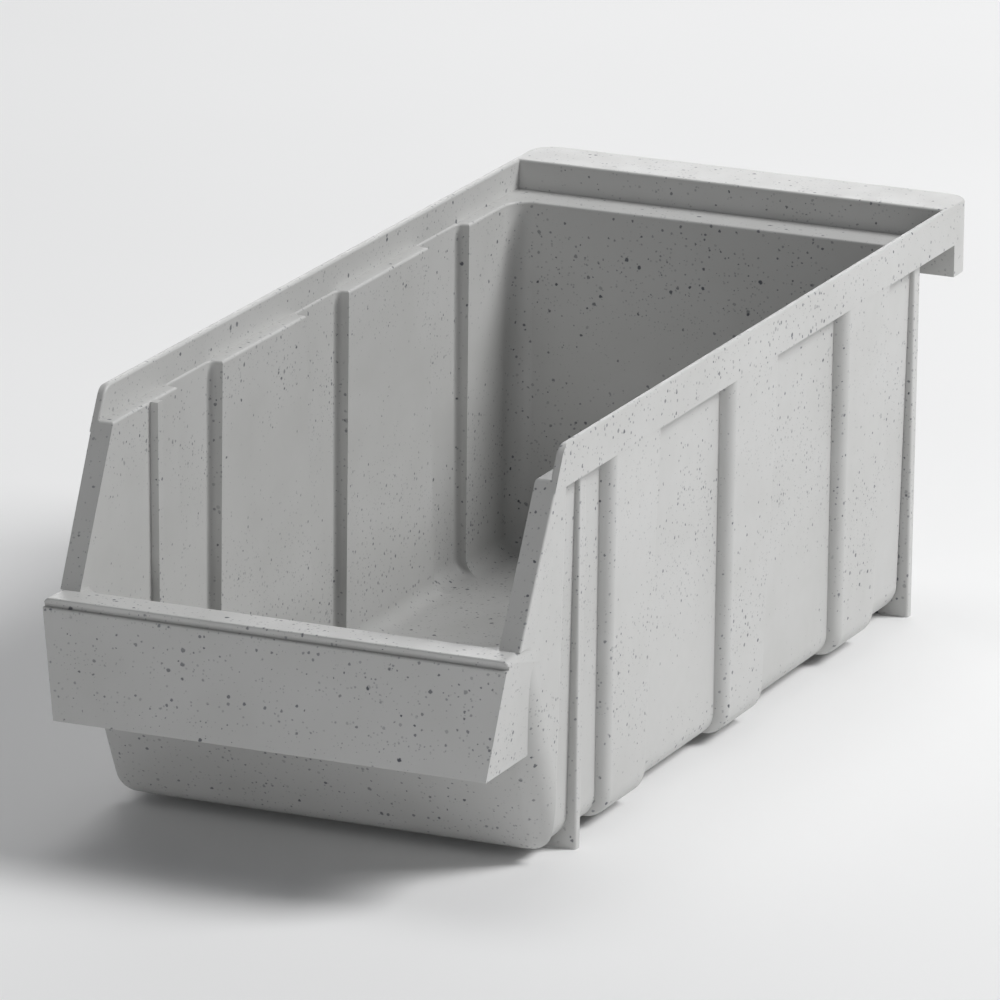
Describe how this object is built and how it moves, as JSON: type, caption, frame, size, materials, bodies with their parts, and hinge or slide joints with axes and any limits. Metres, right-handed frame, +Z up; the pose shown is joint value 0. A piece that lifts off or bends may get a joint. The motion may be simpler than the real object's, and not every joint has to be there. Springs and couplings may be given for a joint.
{
  "type": "stackable storage bin",
  "caption": "Open-front stackable storage bin with ribbed side walls, hanging label face, stacking rim and ledge, and a downturned rear hook for louvred panels.",
  "frame": {"origin": "centre of the bin's footprint, on the ground under its feet", "axes": "+X across the width, +Y from the open front to the hook at the back, +Z up"},
  "size_m": [0.145, 0.3546, 0.125],
  "materials": {
    "bin_plastic": "satin"
  },
  "bodies": {
    "root": {"back_wall": "bin_plastic", "channel_wall_left": "bin_plastic", "channel_wall_right": "bin_plastic", "floor_pan": "bin_plastic", "front_foot_left": "bin_plastic", "front_foot_right": "bin_plastic", "front_lip": "bin_plastic", "front_panel_left": "bin_plastic", "front_panel_right": "bin_plastic", "front_wall": "bin_plastic", "hanging_flange": "bin_plastic", "hook_end_left": "bin_plastic", "hook_end_right": "bin_plastic", "hook_front_web": "bin_plastic", "hook_rear_web": "bin_plastic", "inner_bead_left": "bin_plastic", "inner_bead_right": "bin_plastic", "label_face": "bin_plastic", "label_side_left": "bin_plastic", "label_side_right": "bin_plastic", "ledge_left": "bin_plastic", "ledge_rear": "bin_plastic", "ledge_right": "bin_plastic", "rear_foot_left": "bin_plastic", "rear_foot_right": "bin_plastic", "rib_1_left": "bin_plastic", "rib_1_right": "bin_plastic", "rib_2_left": "bin_plastic", "rib_2_right": "bin_plastic", "rib_3_left": "bin_plastic", "rib_3_right": "bin_plastic", "rim_left": "bin_plastic", "rim_rear": "bin_plastic", "rim_right": "bin_plastic", "wall_panel_1_left": "bin_plastic", "wall_panel_1_right": "bin_plastic", "wall_panel_2_left": "bin_plastic", "wall_panel_2_right": "bin_plastic", "wall_panel_3_left": "bin_plastic", "wall_panel_3_right": "bin_plastic"}
  },
  "joints": []
}
